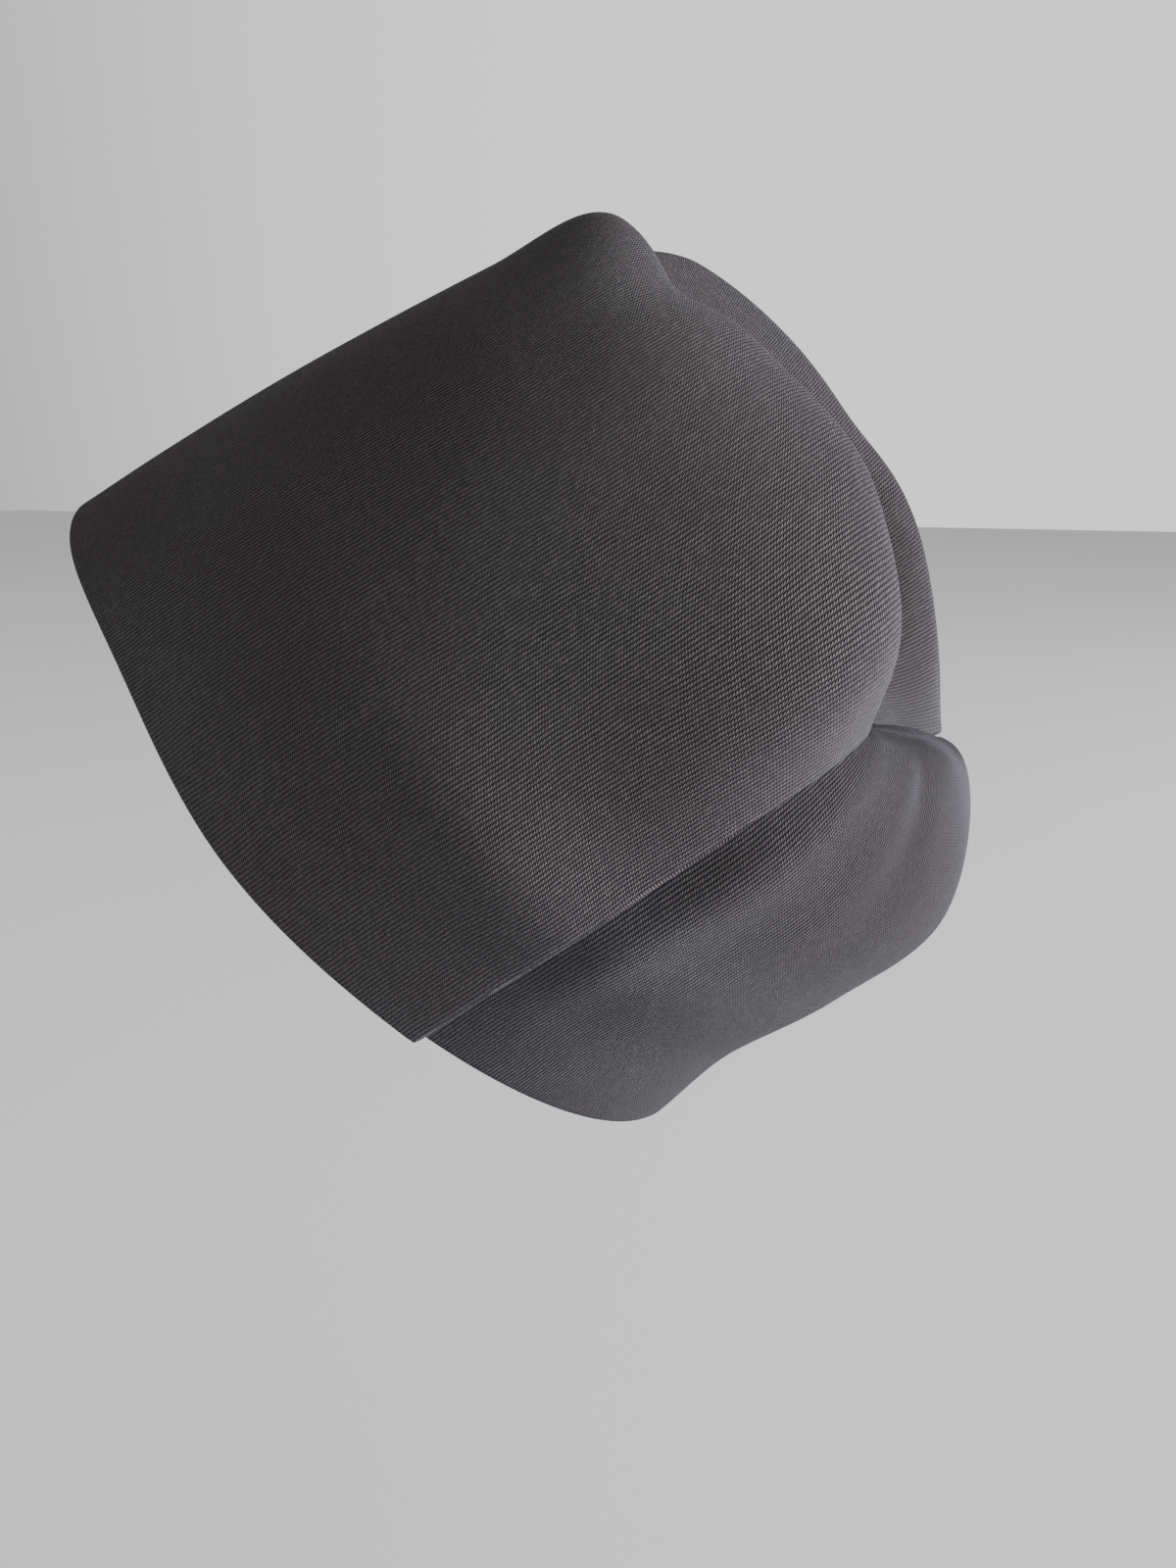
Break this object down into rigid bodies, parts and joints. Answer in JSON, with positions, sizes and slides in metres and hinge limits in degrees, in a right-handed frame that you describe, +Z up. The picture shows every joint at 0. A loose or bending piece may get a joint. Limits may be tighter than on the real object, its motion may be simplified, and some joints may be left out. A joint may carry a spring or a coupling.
{
  "type": "lined cap",
  "caption": "Soft lined cap of thick dark jersey, worn pulled back on the head, with puffed lobes that lap over each other at the back.",
  "frame": {"origin": "centre of the hem loop, the opening for the head", "axes": "+X to the wearer's left, -Y to the wearer's front, +Z up as worn"},
  "size_m": [0.1683, 0.2493, 0.2289],
  "materials": {
    "crown_jersey": "matt brushed jersey",
    "nape_jersey": "matt brushed jersey"
  },
  "bodies": {
    "root": {"crown": "crown_jersey", "nape_panel": "nape_jersey"}
  },
  "joints": []
}
